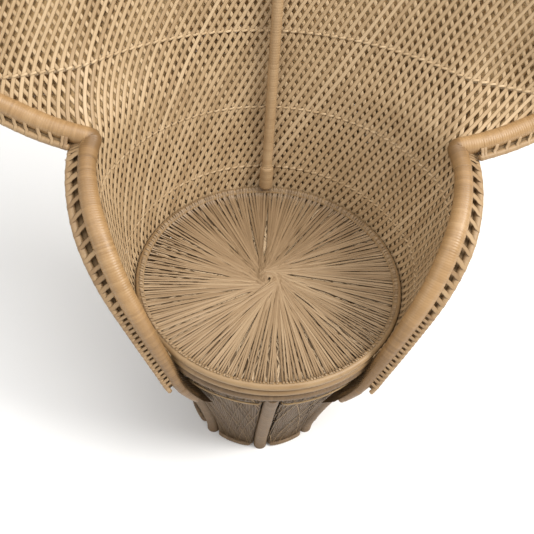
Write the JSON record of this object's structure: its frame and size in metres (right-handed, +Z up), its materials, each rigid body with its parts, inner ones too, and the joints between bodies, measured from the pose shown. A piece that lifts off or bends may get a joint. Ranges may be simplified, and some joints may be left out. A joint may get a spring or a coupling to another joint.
{
  "type": "wicker peacock chair",
  "caption": "Free-standing wicker armchair: round spun seat on a tapered base, low wrapped arms sweeping down at the front, and a tall curved fan back of open cane lattice.",
  "frame": {"origin": "centre of the overall box, on the floor plane under the base posts", "axes": "+Z up, -Y the way the sitter faces, +X to the right seen from the front"},
  "size_m": [1.1352, 0.7158, 1.4563],
  "materials": {
    "wrapped_rolls": "satin peeled cane wrap",
    "lattice_cane": "matt peeled cane",
    "seat_weave": "satin flat cane",
    "base_rattan": "matt",
    "rattan_hoops": "satin",
    "binding_cane": "satin"
  },
  "bodies": {
    "root": {"arm_border_hoop_left": "rattan_hoops", "arm_border_hoop_right": "rattan_hoops", "arm_border_lacing_left": "binding_cane", "arm_border_lacing_right": "binding_cane", "arm_end_binding_left": "binding_cane", "arm_end_binding_right": "binding_cane", "arm_roll_left": "wrapped_rolls", "arm_roll_right": "wrapped_rolls", "arm_weave_left": "lattice_cane", "arm_weave_right": "lattice_cane", "back_center_pole": "wrapped_rolls", "back_rib_1": "rattan_hoops", "back_rib_2": "rattan_hoops", "back_rib_3": "rattan_hoops", "back_rib_4": "rattan_hoops", "back_rib_5": "rattan_hoops", "back_weave_left": "lattice_cane", "back_weave_right": "lattice_cane", "base_inner_ring": "rattan_hoops", "base_post_1": "base_rattan", "base_post_2": "base_rattan", "base_post_3": "base_rattan", "base_post_4": "base_rattan", "base_post_5": "base_rattan", "base_post_6": "base_rattan", "base_post_7": "base_rattan", "base_post_8": "base_rattan", "base_weave": "base_rattan", "fan_border_hoop_left": "rattan_hoops", "fan_border_hoop_right": "rattan_hoops", "fan_border_lacing_left": "binding_cane", "fan_border_lacing_right": "binding_cane", "fan_outer_weave_left": "lattice_cane", "fan_outer_weave_right": "lattice_cane", "fan_rim_left": "wrapped_rolls", "fan_rim_right": "wrapped_rolls", "fan_top_binding": "binding_cane", "fan_weave_center_left": "lattice_cane", "fan_weave_center_right": "lattice_cane", "fan_weave_wing_left": "lattice_cane", "fan_weave_wing_right": "lattice_cane", "floor_ring": "rattan_hoops", "notch_binding_left": "binding_cane", "notch_binding_right": "binding_cane", "pole_foot_binding": "binding_cane", "seat_cross_bar_front": "base_rattan", "seat_cross_bar_side": "base_rattan", "seat_hoop_lower": "rattan_hoops", "seat_hoop_middle": "rattan_hoops", "seat_hoop_upper": "rattan_hoops", "seat_weave_top": "seat_weave", "seat_weave_under": "seat_weave", "tub_outer_weave_left": "lattice_cane", "tub_outer_weave_right": "lattice_cane"}
  },
  "joints": []
}
